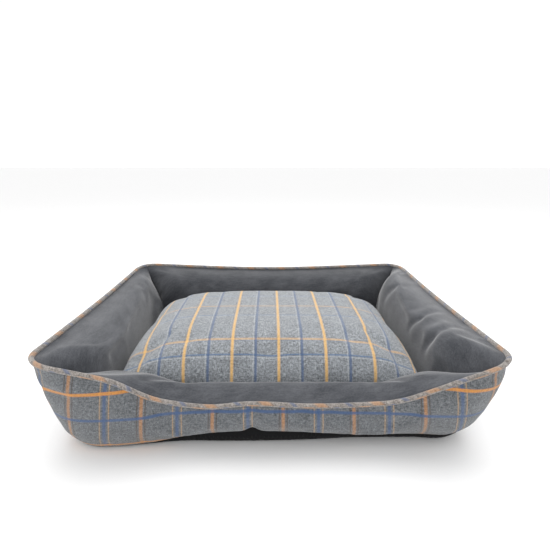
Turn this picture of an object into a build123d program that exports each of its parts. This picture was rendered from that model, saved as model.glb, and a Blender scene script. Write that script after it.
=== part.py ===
from build123d import *
from functools import cache
import math
import os

# Rectangular pet bed: four stuffed bolster walls on a flat base, with a loose zipped cushion inside.
# Millimetres, +Z up, the viewer's right is +X and the low entrance side faces -Y.
# The origin is the centre of the footprint, on the floor.

# Overall size, measured over the piping.
BED_WIDTH = 700.0
BED_DEPTH = 605.0
RIM_HEIGHT = 168.0

# Footprint of the base, which the walls lean out from.
BASE_WIDTH = 654.0
BASE_FRONT = 240.0
BASE_BACK = 270.0
BASE_CORNER = 55.0
RIM_CORNER = 56.0

# Inner well between the bolsters.
WELL_WIDTH = 536.0
WELL_FRONT = 205.0
WELL_BACK = 212.0

# Fabrics and soft layers.
OUTER_CLOTH = 2.0
INNER_CLOTH = 2.0
BASE_CLOTH = 2.0
BASE_PAD = 6.0
LINING_CLOTH = 1.5
BASE_TURN_UP = 10.0
BODY_GAP = 0.5
LAYER_GAP = 0.05

# Piping round the rim: a cord inside a bias-cut cover.
PIPING_RADIUS = 3.5
PIPING_CLOTH = 0.9
PIPING_LIFT = 0.8
PIPING_SEAT_GAP = 0.1
PIPING_BEND = 60.0

# Height of the wall's top edge along the front, from the left end to the right end.
FRONT_RIM = [
    (-350.0, 168.0),
    (-281.0, 168.0),
    (-255.0, 158.0),
    (-212.0, 144.0),
    (-175.0, 116.0),
    (-110.0, 98.0),
    (0.0, 100.0),
    (100.0, 97.0),
    (170.0, 104.0),
    (215.0, 120.0),
    (250.0, 147.0),
    (274.0, 166.0),
    (350.0, 168.0),
]

# Bolster section: where its inner face bulges, its shoulder and its crest.
BULGE = 5.0
TUCK = 10.0
CREST_RISE = 5.0
SCOOP_CREST_RISE = 11.0
CREST_SETBACK = 38.0
RIM_SETBACK = 6.0

# Cushion: outline at the seam, at its underside, and heights.
# Each corner of the crown's outline: distance in from the seam, and share of the rise above it.
CUSHION_SIDE_GAP = 7.0
CUSHION_TAPER = 30.0
CUSHION_SEAM = 60.0
CUSHION_CROWN = 154.0
CROWN_CORNERS = [(14.0, 0.50), (45.0, 0.84), (110.0, 1.0)]
CUSHION_CLOTH = 1.5
LINER_CLOTH = 0.8

# Zip on the cushion's rear lower flank.
ZIP_HEIGHT = 36.0
ZIP_LENGTH = 400.0
ZIP_SLOT = 9.0
ZIP_TAPE_WIDTH = 13.0
ZIP_TAPE = 0.6
COIL_WIDTH = 4.6
COIL_RISE = 1.8
STOP_LENGTH = 3.0
SLIDER_LENGTH = 11.0
SLIDER_WIDTH = 8.0
SLIDER_WALL = 1.2
SLIDER_CLEARANCE = 0.4
BRIDGE_HEIGHT = 3.6
BRIDGE_WIDTH = 1.6
PULL_LENGTH = 20.0
PULL_WIDTH = 6.0
PULL_THICKNESS = 1.2
PULL_EYE = 2.15
PULL_EYE_LENGTH = 6.9
PULL_BAR = 0.9
SLIDER_START = -185.0

# Worked out from the above.
PIPING_CENTRE = RIM_HEIGHT + PIPING_RADIUS + PIPING_LIFT
RIM_HALF_WIDTH = BED_WIDTH / 2 - PIPING_RADIUS + OUTER_CLOTH / 2
RIM_HALF_DEPTH = BED_DEPTH / 2 - PIPING_RADIUS + OUTER_CLOTH / 2
FLOOR_TOP = BASE_CLOTH + BASE_PAD + LINING_CLOTH + 3 * LAYER_GAP
CUT_TOP = 200.0


def lean(base, rim):
    """Outward travel of a wall for each millimetre of height."""
    return (rim - base) / PIPING_CENTRE


SIDE_LEAN = lean(BASE_WIDTH / 2, RIM_HALF_WIDTH)
FRONT_LEAN = lean(BASE_FRONT, RIM_HALF_DEPTH)
BACK_LEAN = lean(BASE_BACK, RIM_HALF_DEPTH)


def plan(z, inset):
    """Rounded outline of the bed's outer surface at height z, moved in by inset."""
    half_width = BASE_WIDTH / 2 + SIDE_LEAN * z - inset
    front = BASE_FRONT + FRONT_LEAN * z - inset
    back = BASE_BACK + BACK_LEAN * z - inset
    corner = BASE_CORNER + (RIM_CORNER - BASE_CORNER) * z / PIPING_CENTRE - inset
    outline = RectangleRounded(2 * half_width, front + back, corner)
    return Pos(0, (back - front) / 2, z) * outline


def tub(inset, low, high):
    """Solid inside the leaning outer surface, between two heights."""
    return loft([plan(low, inset), plan(high, inset)], ruled=True)


def well_corner(side, end):
    """Plan position of a bolster seam at the well: side is -1 or 1 in X, end is -1 front, 1 back."""
    return (side * WELL_WIDTH / 2, -WELL_FRONT if end < 0 else WELL_BACK)


def mitre_point(side, end, reach, setback):
    """A point on the corner seam's line: reach 0 is the well's corner and 1 the rim's corner."""
    inner = well_corner(side, end)
    outer = (side * RIM_HALF_WIDTH, end * RIM_HALF_DEPTH)
    x = inner[0] + (outer[0] - inner[0]) * reach
    y = inner[1] + (outer[1] - inner[1]) * reach
    return (x + setback[0], y + setback[1])


def wedge(wall, gap):
    """Vertical prism over one wall, cut at the corner seams and kept gap away from them."""
    corners = {
        "front": [(-1, -1), (1, -1)],
        "back": [(1, 1), (-1, 1)],
        "left": [(-1, 1), (-1, -1)],
        "right": [(1, -1), (1, 1)],
    }[wall]
    outward = {"front": (0, -1), "back": (0, 1), "left": (-1, 0), "right": (1, 0)}[wall]
    setback = (outward[0] * gap * math.sqrt(2), outward[1] * gap * math.sqrt(2))
    inner_reach = -0.8
    outer_reach = 2.5
    points = [
        mitre_point(*corners[0], inner_reach, setback),
        mitre_point(*corners[0], outer_reach, setback),
        mitre_point(*corners[1], outer_reach, setback),
        mitre_point(*corners[1], inner_reach, setback),
    ]
    outline = make_face(Polyline(*points, close=True))
    return extrude(outline, CUT_TOP)


def bolster_section(well, rim, height, rise, inset):
    """Face in the XY plane: X is the outward distance and Y the height of a bolster."""
    floor = FLOOR_TOP + LAYER_GAP
    far = rim + 60
    top = height - 1.0 - inset
    inner_face = Spline(
        (well + TUCK + inset, floor),
        (well - BULGE + inset, floor + 0.45 * (height - floor)),
        (well + 12 + 0.8 * inset, height - 14 - 0.6 * inset),
        (rim - CREST_SETBACK, height + rise - inset),
        (rim, top),
    )
    outer = Polyline((rim, top), (far, top), (far, floor), (well + TUCK + inset, floor))
    return make_face(Curve() + [inner_face, outer])


def straight_bolster(wall, inset):
    """Bolster of the back, left or right wall, before its ends are cut."""
    well = WELL_BACK if wall == "back" else WELL_WIDTH / 2
    rim = RIM_HALF_DEPTH if wall == "back" else RIM_HALF_WIDTH
    turn = {"back": 90, "left": 180, "right": 0}[wall]
    section = Plane.XZ * bolster_section(well, rim - RIM_SETBACK, RIM_HEIGHT, CREST_RISE, inset)
    bar = extrude(section, BED_WIDTH / 2 + 60, both=True)
    return Rot(0, 0, turn) * bar


def front_bolster(inset):
    """Front bolster, lofted along X because its height dips at the entrance."""
    low = min(z for _, z in FRONT_RIM)
    sections = []
    for x, height in FRONT_RIM:
        dip = (RIM_HEIGHT - height) / (RIM_HEIGHT - low)
        rise = CREST_RISE + (SCOOP_CREST_RISE - CREST_RISE) * dip
        rim = BASE_FRONT + FRONT_LEAN * height - RIM_SETBACK
        section = bolster_section(WELL_FRONT, rim, height, rise, inset)
        place = Plane(origin=(x, 0, 0), x_dir=(0, -1, 0), z_dir=(-1, 0, 0))
        sections.append(place * section)
    return loft(sections, ruled=True)


def bolster(wall, inset):
    """Raw bolster of any wall."""
    return front_bolster(inset) if wall == "front" else straight_bolster(wall, inset)


def bolster_fill(wall):
    """Stuffing of one wall."""
    inside = tub(OUTER_CLOTH + LAYER_GAP, FLOOR_TOP, CUT_TOP)
    return (bolster(wall, INNER_CLOTH) & inside & wedge(wall, 2.0)) - piping_seat()


def inner_panel(wall):
    """Cloth over the top and the inner face of one wall."""
    inside = tub(OUTER_CLOTH + LAYER_GAP, FLOOR_TOP, CUT_TOP)
    sleeve = bolster(wall, 0) - bolster(wall, INNER_CLOTH - LAYER_GAP)
    return (sleeve & inside & wedge(wall, 0.1)) - piping_seat()


def front_rim_cut():
    """Prism under the front wall's top edge."""
    half = BED_WIDTH / 2
    outline = make_face(Polyline(*FRONT_RIM, (half, 0), (-half, 0), close=True))
    return extrude(Plane.XZ * outline, BED_DEPTH)


def outer_panel(wall):
    """Plaid cloth on the outside of one wall."""
    top = RIM_HEIGHT
    skin = tub(0, BASE_TURN_UP, top) - tub(OUTER_CLOTH, BASE_TURN_UP, top)
    panel = skin & wedge(wall, 0.1)
    if wall == "front":
        panel = panel & front_rim_cut()
    return panel - piping_seat()


def base_panel():
    """Hard-wearing cloth under the bed, turned up a little at its edge."""
    block = tub(0, 0, BASE_TURN_UP - LAYER_GAP)
    hollow = tub(OUTER_CLOTH, BASE_CLOTH, BASE_TURN_UP - LAYER_GAP)
    return block - hollow


def base_layer(low, high):
    """A flat layer inside the base panel."""
    return tub(OUTER_CLOTH + LAYER_GAP, low, high)


def rim_point(x, height):
    """Point of the piping's centre line above the front wall's edge."""
    z = height + PIPING_RADIUS + PIPING_LIFT
    return (x, -(BASE_FRONT + FRONT_LEAN * z - OUTER_CLOTH / 2), z)


def piping_path():
    """Centre line of the piping: one run round the rim that starts and ends behind."""
    x = BED_WIDTH / 2 - PIPING_RADIUS
    y = BED_DEPTH / 2 - PIPING_RADIUS
    start = (0.5, y, PIPING_CENTRE)
    end = (-0.5, y, PIPING_CENTRE)
    dip = [rim_point(px, pz) for px, pz in reversed(FRONT_RIM[1:-1])]
    points = [
        start,
        (x, y, PIPING_CENTRE),
        (x, -y, PIPING_CENTRE),
        *dip,
        (-x, -y, PIPING_CENTRE),
        (-x, y, PIPING_CENTRE),
        end,
    ]
    radii = []
    for before, corner, after in zip(points, points[1:], points[2:]):
        turn = (Vector(*corner) - Vector(*before)).get_angle(Vector(*after) - Vector(*corner))
        radii.append(RIM_CORNER - 2 if turn > 60 else PIPING_BEND)
    return FilletPolyline(*points, radius=radii)


def piping_sweep(section):
    """Flat section carried along the piping's path."""
    path = piping_path()
    return sweep(Plane(origin=path @ 0, z_dir=path % 0) * section, path=path)


@cache
def piping_seat():
    """Channel that the piping presses into the walls' top edges."""
    return piping_sweep(Circle(PIPING_RADIUS + PIPING_SEAT_GAP))


def piping_cover():
    """Bias-cut cloth wrapped round the piping cord."""
    return piping_sweep(Circle(PIPING_RADIUS) - Circle(PIPING_RADIUS - PIPING_CLOTH))


def piping_cord():
    """Cotton cord inside the piping's cover."""
    return piping_sweep(Circle(PIPING_RADIUS - PIPING_CLOTH - LAYER_GAP))


def flank_run():
    """Slope of the cushion's lower flank: outward travel over height."""
    return CUSHION_TAPER / (CUSHION_SEAM - cushion_bottom())


def cushion_bottom():
    """Height of the cushion's underside."""
    return FLOOR_TOP + BODY_GAP


def flank_half(seam_half, z, inset):
    """Half size of the cushion's lower flank at height z, moved in square to the flank."""
    slant = math.hypot(1, flank_run())
    return seam_half - (CUSHION_SEAM - z) * flank_run() - inset * slant


def dome_outline(seam_half, inset):
    """Outline of the cushion seen from one side: flat underside, sloping flanks, domed top."""
    bottom = cushion_bottom() + inset
    low = flank_half(seam_half, bottom, inset)
    wide = flank_half(seam_half, CUSHION_SEAM, inset)
    rise = CUSHION_CROWN - inset - CUSHION_SEAM
    right = [(low, bottom), (wide, CUSHION_SEAM)]
    right += [(wide - run, CUSHION_SEAM + rise * share) for run, share in CROWN_CORNERS]
    left = [(-x, z) for x, z in reversed(right)]
    return make_face(Polyline(*right, *left, close=True))


def cushion_body(inset):
    """Solid of the whole cushion, moved in by inset."""
    half_width = WELL_WIDTH / 2 - CUSHION_SIDE_GAP
    half_depth = (WELL_FRONT + WELL_BACK) / 2 - CUSHION_SIDE_GAP
    middle = (WELL_BACK - WELL_FRONT) / 2
    across = extrude(Plane.XZ * dome_outline(half_width, inset), BED_DEPTH, both=True)
    along = extrude(Plane.YZ * dome_outline(half_depth, inset), BED_WIDTH, both=True)
    return across & (Pos(0, middle, 0) * along)


def half_space(low, high):
    """Slab over the whole bed between two heights."""
    slab = Box(2 * BED_WIDTH, 2 * BED_DEPTH, high - low)
    return Pos(0, 0, (low + high) / 2) * slab


def zip_plane():
    """Plane of the rear flank's outside: X runs along the zip and Z points out of the cushion."""
    half_depth = (WELL_FRONT + WELL_BACK) / 2 - CUSHION_SIDE_GAP
    middle = (WELL_BACK - WELL_FRONT) / 2
    rear = middle + flank_half(half_depth, ZIP_HEIGHT, 0)
    outward = (0, 1, -flank_run())
    return Plane(origin=(0, rear, ZIP_HEIGHT), x_dir=(1, 0, 0), z_dir=outward)


def on_zip(x, y, z, length, width, height):
    """Box on the zip's plane, centred at x, y, with its underside at z."""
    block = Box(length, width, height, align=(Align.CENTER, Align.CENTER, Align.MIN))
    return zip_plane() * (Pos(x, y, z) * block)


def zip_slot():
    """Opening of the cover over the zip's coil."""
    return on_zip(0, 0, -5, ZIP_LENGTH, ZIP_SLOT, 10)


def tape_recess():
    """Room under the cover for the zip's tapes."""
    depth = CUSHION_CLOTH + LINER_CLOTH + ZIP_TAPE + 2 * LAYER_GAP
    return on_zip(0, 0, -depth, ZIP_LENGTH + 10, 2 * ZIP_TAPE_WIDTH + 1, depth)


def cushion_cover():
    """Whole cover of the cushion before it is cut at the seam."""
    return cushion_body(0) - cushion_body(CUSHION_CLOTH) - zip_slot()


def cushion_top_panel():
    """Plaid upper panel of the cushion."""
    return cushion_cover() & half_space(CUSHION_SEAM, CUT_TOP)


def cushion_bottom_panel():
    """Plain lower panel of the cushion, with the zip's slot."""
    return cushion_cover() & half_space(0, CUSHION_SEAM - LAYER_GAP)


def cushion_fill():
    """Loose stuffing of the cushion."""
    inset = CUSHION_CLOTH + LINER_CLOTH + 2 * LAYER_GAP
    recess = on_zip(0, 0, -6, ZIP_LENGTH + 12, 2 * ZIP_TAPE_WIDTH + 3, 6)
    return cushion_body(inset) - recess


def cushion_liner():
    """Thin inner bag that holds the stuffing when the zip is open."""
    outer = cushion_body(CUSHION_CLOTH + LAYER_GAP)
    inner = cushion_body(CUSHION_CLOTH + LINER_CLOTH + LAYER_GAP)
    return outer - inner - tape_recess()


def zip_tapes():
    """The zip's two woven tapes, one on each side of the coil."""
    low = -CUSHION_CLOTH - LAYER_GAP - ZIP_TAPE
    shift = COIL_WIDTH / 2 + LAYER_GAP + ZIP_TAPE_WIDTH / 2 - 1
    width = ZIP_TAPE_WIDTH - 2
    sides = [on_zip(0, side * shift, low, ZIP_LENGTH, width, ZIP_TAPE) for side in (-1, 1)]
    return Compound(sides)


def zip_coil():
    """The closed coil of the zip, as a plain strip."""
    low = -CUSHION_CLOTH - LAYER_GAP - ZIP_TAPE
    length = ZIP_LENGTH - 2 * STOP_LENGTH - 2
    return on_zip(0, 0, low, length, COIL_WIDTH, COIL_RISE - low)


def zip_stops():
    """Metal stops at both ends of the coil."""
    low = -CUSHION_CLOTH - LAYER_GAP
    x = ZIP_LENGTH / 2 - STOP_LENGTH / 2
    stops = [on_zip(side * x, 0, low + 0.1, STOP_LENGTH, COIL_WIDTH, COIL_RISE - low) for side in (-1, 1)]
    return Compound(stops)


def slider_roof():
    """Height of the slider's top plate above the cover."""
    return COIL_RISE + SLIDER_CLEARANCE + SLIDER_WALL


def zip_slider():
    """Slider that straddles the coil, with the bridge that holds the pull."""
    width = SLIDER_WIDTH - 0.6
    channel = COIL_WIDTH + 2 * SLIDER_CLEARANCE
    roof = slider_roof()
    body = on_zip(SLIDER_START, 0, 0.3, SLIDER_LENGTH, width, roof - 0.3)
    body -= on_zip(SLIDER_START, 0, 0, SLIDER_LENGTH + 2, channel, roof - SLIDER_WALL)
    arch = on_zip(SLIDER_START, 0, roof, SLIDER_LENGTH - 2, BRIDGE_WIDTH, BRIDGE_HEIGHT)
    arch -= on_zip(SLIDER_START, 0, roof, SLIDER_LENGTH - 5, BRIDGE_WIDTH + 1, BRIDGE_HEIGHT - 1.4)
    return body + arch


def zip_pull():
    """Flat pull tab hooked round the slider's bridge, lying along the zip."""
    tip = PULL_EYE + PULL_BAR / 2
    low = slider_roof() + 0.4
    tab = on_zip(SLIDER_START + PULL_LENGTH / 2 - tip, 0, low, PULL_LENGTH, PULL_WIDTH, PULL_THICKNESS)
    eye_middle = SLIDER_START - PULL_EYE + (PULL_BAR + PULL_EYE_LENGTH) / 2
    eye = on_zip(eye_middle, 0, low - 1, PULL_EYE_LENGTH, BRIDGE_WIDTH + 0.8, 4)
    window = on_zip(SLIDER_START + PULL_LENGTH - 8.4, 0, low - 1, 6, PULL_WIDTH - 3.2, 4)
    return tab - eye - window


def build():
    """Every node of the bed by name."""
    nodes = {"base_panel": base_panel()}
    pad_low = BASE_CLOTH + LAYER_GAP
    pad_high = pad_low + BASE_PAD
    nodes["base_pad"] = base_layer(pad_low, pad_high)
    nodes["base_lining"] = base_layer(pad_high + LAYER_GAP, FLOOR_TOP)
    for wall in ("front", "back", "left", "right"):
        nodes[f"bolster_fill_{wall}"] = bolster_fill(wall)
        nodes[f"inner_panel_{wall}"] = inner_panel(wall)
        nodes[f"outer_panel_{wall}"] = outer_panel(wall)
    nodes["piping_cover"] = piping_cover()
    nodes["piping_cord"] = piping_cord()
    nodes["cushion_top_panel"] = cushion_top_panel()
    nodes["cushion_bottom_panel"] = cushion_bottom_panel()
    nodes["cushion_liner"] = cushion_liner()
    nodes["cushion_fill"] = cushion_fill()
    nodes["zip_tapes"] = zip_tapes()
    nodes["zip_coil"] = zip_coil()
    nodes["zip_stops"] = zip_stops()
    nodes["zip_slider"] = zip_slider()
    nodes["zip_pull"] = zip_pull()
    return nodes


os.makedirs("parts", exist_ok=True)
for name, shape in build().items():
    export_step(shape, f"parts/{name}.step")
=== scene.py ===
import math

import bpy
import numpy as np
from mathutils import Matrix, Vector, noise


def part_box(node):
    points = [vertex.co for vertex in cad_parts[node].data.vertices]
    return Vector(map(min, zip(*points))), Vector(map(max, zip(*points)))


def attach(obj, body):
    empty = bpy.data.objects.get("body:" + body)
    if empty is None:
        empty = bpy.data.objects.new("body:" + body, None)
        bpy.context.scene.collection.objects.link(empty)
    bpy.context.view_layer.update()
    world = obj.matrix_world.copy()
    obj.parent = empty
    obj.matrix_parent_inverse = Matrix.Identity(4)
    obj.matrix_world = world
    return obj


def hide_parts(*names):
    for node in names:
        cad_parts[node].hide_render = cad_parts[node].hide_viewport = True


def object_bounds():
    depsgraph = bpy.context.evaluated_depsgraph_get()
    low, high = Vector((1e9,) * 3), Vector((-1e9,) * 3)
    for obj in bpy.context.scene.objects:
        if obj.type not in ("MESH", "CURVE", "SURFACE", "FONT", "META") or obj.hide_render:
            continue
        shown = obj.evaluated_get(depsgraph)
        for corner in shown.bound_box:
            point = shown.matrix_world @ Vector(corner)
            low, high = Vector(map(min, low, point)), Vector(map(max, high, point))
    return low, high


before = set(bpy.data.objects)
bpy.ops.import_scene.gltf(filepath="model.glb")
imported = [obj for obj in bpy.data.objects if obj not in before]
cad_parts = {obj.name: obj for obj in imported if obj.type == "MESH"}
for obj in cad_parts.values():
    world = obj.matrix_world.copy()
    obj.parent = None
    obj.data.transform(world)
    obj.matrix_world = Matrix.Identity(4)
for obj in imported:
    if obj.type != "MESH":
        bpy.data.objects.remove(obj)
CAD_LOW, CAD_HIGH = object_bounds()

# Metres throughout. The frame gives the bed's rim, base, well and cushion.
PIPING_RADIUS = 0.0035
RIM_LOW, RIM_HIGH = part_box("piping_cover")
RIM_X = RIM_HIGH.x - PIPING_RADIUS
RIM_Y = RIM_HIGH.y - PIPING_RADIUS
RIM_Z = RIM_HIGH.z - PIPING_RADIUS
SCOOP_Z = RIM_LOW.z + PIPING_RADIUS
BASE_LOW, BASE_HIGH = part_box("base_panel")
_, LINING_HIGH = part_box("base_lining")
PAD_LOW, PAD_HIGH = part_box("cushion_bottom_panel")
TOP_LOW, TOP_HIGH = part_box("cushion_top_panel")
WELL_GAP = 0.007
WELL_X = PAD_HIGH.x + WELL_GAP
WELL_FRONT = WELL_GAP - PAD_LOW.y
WELL_BACK = PAD_HIGH.y + WELL_GAP
FLOOR_Z = LINING_HIGH.z

# Corner radii of the rim and the base, and the walls' mid height.
RIM_CORNER = 0.056
BASE_CORNER = 0.055
MID_Z = 0.075

# Height of the rim along the front, as shares of the half width and of the scoop's depth.
SCOOP = [
    (-1.00, 1.00), (-0.86, 0.97), (-0.78, 0.86), (-0.70, 0.74), (-0.64, 0.62), (-0.58, 0.38),
    (-0.52, 0.15), (-0.44, 0.02), (-0.35, -0.07), (-0.26, -0.12), (-0.19, -0.07), (-0.10, 0.00),
    (0.02, -0.03), (0.15, -0.08), (0.27, -0.08), (0.40, -0.04), (0.52, 0.00), (0.61, 0.14),
    (0.74, 0.52), (0.81, 0.74), (0.88, 0.91), (1.00, 1.00),
]
# Bottom seam of the wall along the front: share of the half width, height, how far it tucks under,
# and how far in from it the base cloth's belly meets the floor.
FRONT_SEAM = [
    (-1.00, 0.004, -0.014, 0.030), (-0.75, 0.003, -0.011, 0.030), (-0.58, 0.008, -0.004, 0.027),
    (-0.44, 0.019, 0.000, 0.025), (-0.28, 0.029, 0.000, 0.024), (-0.115, 0.034, 0.000, 0.024),
    (-0.085, 0.050, 0.003, 0.025), (-0.055, 0.034, 0.000, 0.025), (0.15, 0.031, 0.000, 0.028),
    (0.30, 0.025, 0.002, 0.034), (0.42, 0.020, 0.005, 0.040), (0.75, 0.020, 0.006, 0.050),
    (1.00, 0.019, -0.002, 0.045),
]
# Outward swell of the stuffed walls over their straight lean, by share of the height.
SWELL_HEIGHTS = [0.0, 0.07, 0.18, 0.36, 0.60, 0.82, 0.95, 1.0]
SWELL_SHARES = [-0.20, 0.30, 0.85, 1.00, 0.92, 0.60, 0.18, 0.0]
SIDE_SWELL = {"front": 0.010, "right": 0.012, "back": 0.012, "left": 0.014}
CORNER_SWELL = {
    "front": (0.012, 0.012), "right": (0.012, 0.013), "back": (0.013, 0.013), "left": (0.013, 0.012),
}
# How far the rim sags along the back and the sides, and rises at each corner.
BACK_SAG = 0.009
SIDE_SAG = 0.003
CORNER_LIFT = 0.002

# Unit directions of each wall, walking round the bed from the front-left corner.
SIDES = {
    "front": (np.array([1.0, 0.0]), np.array([0.0, -1.0])),
    "right": (np.array([0.0, 1.0]), np.array([1.0, 0.0])),
    "back": (np.array([-1.0, 0.0]), np.array([0.0, 1.0])),
    "left": (np.array([0.0, -1.0]), np.array([-1.0, 0.0])),
}
# Fineness of the grids.
COLUMNS = {"front": 101, "right": 87, "back": 101, "left": 87}
OUTER_ROWS = 23
INNER_ROWS = 47
CUSHION_CELLS = (76, 62)

# Plaid: repeats of the cloth in metres. The cushion's blue cross lines have a spacing of their own.
WALL_REPEAT = (0.108, 0.1227)
CUSHION_REPEAT = (0.0797, 0.140)
BLUE_REPEAT = 0.120
PIPING_REPEAT = 0.083
TWEED_PITCH = 0.0016


# ---------------------------------------------------------------- shape helpers

def rounded_profile(points, blur, column=1):
    """Function through given points, smoothed over a length of blur."""
    xs = np.array([p[0] for p in points])
    ys = np.array([p[column] for p in points])
    taps = np.linspace(-1, 1, 9)
    weights = np.exp(-2 * taps**2)
    weights /= weights.sum()
    return lambda x: sum(w * np.interp(x + blur * t, xs, ys) for w, t in zip(weights, taps))


scoop_share = rounded_profile(SCOOP, 0.04)
front_seam_z = rounded_profile(FRONT_SEAM, 0.02)
front_seam_tuck = rounded_profile(FRONT_SEAM, 0.06, 2)
front_belly = rounded_profile(FRONT_SEAM, 0.08, 3)


def smoothstep(x, low, high):
    """Rises smoothly from 0 at low to 1 at high."""
    t = np.clip((x - low) / (high - low), 0, 1)
    return t * t * (3 - 2 * t)


def column_shares(count):
    """Places along a wall, 0 to 1, closer together near both corners."""
    t = np.linspace(-1, 1, count)
    return 0.5 + 0.5 * np.sign(t) * (1 - (1 - np.abs(t)) ** 1.45)


def outline(side, f, half_x, front, back, radius):
    """Points and outward normals of a rounded rectangle on one side, between the middles of two corners."""
    along, out = SIDES[side]
    lengthwise = side in ("front", "back")
    half = half_x if lengthwise else (front + back) / 2
    reach = {"front": front, "back": back}.get(side, half_x)
    middle = np.array([0.0, 0.0 if lengthwise else (back - front) / 2])
    rim_half = RIM_X if lengthwise else RIM_Y
    arc = RIM_CORNER * math.pi / 4
    share = arc / (2 * arc + 2 * (rim_half - RIM_CORNER))
    turn = np.where(f < share, f / share - 1, np.where(f > 1 - share, (f - 1 + share) / share, 0.0))
    angle = turn * math.pi / 4
    straight = np.clip((f - share) / (1 - 2 * share), 0, 1) * 2 - 1
    a = straight * (half - radius) + radius * np.sin(angle)
    o = reach - radius + radius * np.cos(angle)
    points = middle + a[:, None] * along + o[:, None] * out
    normals = np.sin(angle)[:, None] * along + np.cos(angle)[:, None] * out
    return points, normals


def rim_outline(side, f):
    """The piping's line in plan."""
    return outline(side, f, RIM_X, RIM_Y, RIM_Y, RIM_CORNER)


def base_outline(side, f):
    """The base's edge in plan."""
    return outline(side, f, BASE_HIGH.x, -BASE_LOW.y, BASE_HIGH.y, BASE_CORNER)


def wall_outline(side, f, z):
    """The leaning wall's outline at heights z, one height for each place f."""
    low, low_normal = base_outline(side, f)
    high, high_normal = rim_outline(side, f)
    w = (z / RIM_Z)[:, None]
    normal = low_normal * (1 - w) + high_normal * w
    return low * (1 - w) + high * w, normal / np.linalg.norm(normal, axis=1)[:, None]


def rim_height(side, f):
    """Height of the piping's centre along one side."""
    points, _ = rim_outline(side, f)
    corner = CORNER_LIFT * np.exp(-((1 - np.abs(2 * f - 1)) / 0.10) ** 2)
    if side == "front":
        share = scoop_share(points[:, 0] / RIM_X)
        return SCOOP_Z + (RIM_Z - SCOOP_Z) * share + corner
    sag = BACK_SAG if side == "back" else SIDE_SAG
    return RIM_Z - sag * np.sin(math.pi * f) ** 1.5 + corner


def seam(side, f):
    """Height of the wall's bottom seam, its tuck and the reach of the base's belly, by place along a side."""
    values = (front_seam_z, front_seam_tuck, front_belly)
    if side == "front":
        points, _ = base_outline(side, f)
        x = points[:, 0] / BASE_HIGH.x
        return [value(x) for value in values]
    plain = (0.006, 0.002, 0.010)
    if side == "back":
        return [np.full(len(f), value) for value in plain]
    end = 1.0 if side == "right" else -1.0
    share = 1 - smoothstep(f, 0.0, 0.4) if side == "right" else smoothstep(f, 0.6, 1.0)
    return [rest + (value(end) - rest) * share for value, rest in zip(values, plain)]


def ripple(points, scale, seed):
    """Smooth noise of -1 to 1 at each 3-D point, for a wrinkle size in metres."""
    shift = Vector((seed * 7.3, seed * 3.1, seed * 5.7))
    flat = points.reshape(-1, 3)
    values = [noise.noise(Vector(p) / scale + shift) for p in flat.tolist()]
    return np.array(values).reshape(points.shape[:-1])


def natural_weights(knots, where):
    """Weights of a natural cubic curve through control points at knots, at the places in where."""
    count = len(knots)
    step = np.diff(knots)
    left, right = np.eye(count), np.zeros((count, count))
    for i in range(1, count - 1):
        left[i, i - 1:i + 2] = step[i - 1], 2 * (step[i - 1] + step[i]), step[i]
        right[i, i - 1:i + 2] = 6 / step[i - 1], -6 / step[i - 1] - 6 / step[i], 6 / step[i]
    second = np.linalg.solve(left, right)
    eye = np.eye(count)
    rows = []
    for t in where:
        i = min(int(np.searchsorted(knots, t, side="right")) - 1, count - 2)
        h = step[i]
        a, b = (knots[i + 1] - t) / h, (t - knots[i]) / h
        curve = ((a**3 - a) * second[i] + (b**3 - b) * second[i + 1]) * h * h / 6
        rows.append(a * eye[i] + b * eye[i + 1] + curve)
    return np.array(rows)


# ---------------------------------------------------------------- meshes

def grid_piece(name, points, uvs, closed=False):
    """Mesh of quads over a grid of points, rows by columns, with UVs in metres of cloth.

    A closed grid joins its last column to its first, and its UVs have one column more than its points.
    """
    rows, cols = points.shape[:2]
    index = np.arange(rows * cols).reshape(rows, cols)
    wrap = np.concatenate([index, index[:, :1]], axis=1) if closed else index
    quads = np.stack([wrap[:-1, :-1], wrap[:-1, 1:], wrap[1:, 1:], wrap[1:, :-1]], axis=-1).reshape(-1, 4)
    mesh = bpy.data.meshes.new(name)
    mesh.from_pydata(points.reshape(-1, 3).tolist(), [], quads.tolist())
    layer = mesh.uv_layers.new(name="cloth")
    uv_quads = np.stack([uvs[:-1, :-1], uvs[:-1, 1:], uvs[1:, 1:], uvs[1:, :-1]], axis=2)
    layer.data.foreach_set("uv", uv_quads.astype(np.float32).ravel())
    mesh.polygons.foreach_set("use_smooth", [True] * len(mesh.polygons))
    piece = bpy.data.objects.new(name, mesh)
    bpy.context.scene.collection.objects.link(piece)
    return piece


def coordinates(mesh):
    """The mesh's points as an array."""
    flat = np.zeros(len(mesh.vertices) * 3)
    mesh.vertices.foreach_get("co", flat)
    return flat.reshape(-1, 3)


def tube_piece(name, path, radius, around):
    """Round tube along a closed path of points, with a radius for each point."""
    count = len(path)
    ahead = np.roll(path, -1, axis=0)
    tangent = ahead - np.roll(path, 1, axis=0)
    tangent /= np.linalg.norm(tangent, axis=1)[:, None]
    side = np.cross(tangent, np.array([0.0, 0.0, 1.0]))
    side /= np.linalg.norm(side, axis=1)[:, None]
    lift = np.cross(side, tangent)
    length = np.concatenate([[0], np.cumsum(np.linalg.norm(ahead - path, axis=1))])
    angle = np.linspace(0, 2 * math.pi, around, endpoint=False)
    ring = side[None] * np.cos(angle)[:, None, None] + lift[None] * np.sin(angle)[:, None, None]
    points = path[None] + ring * radius[None, :, None]
    points = np.vstack([points, points[:1]])
    whole = np.linspace(0, 2 * math.pi, around + 1)
    v = np.broadcast_to((whole * PIPING_RADIUS)[:, None], (around + 1, count + 1))
    u = np.broadcast_to(length[None], (around + 1, count + 1))
    return grid_piece(name, points, np.stack([u, v], axis=-1), closed=True)


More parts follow.
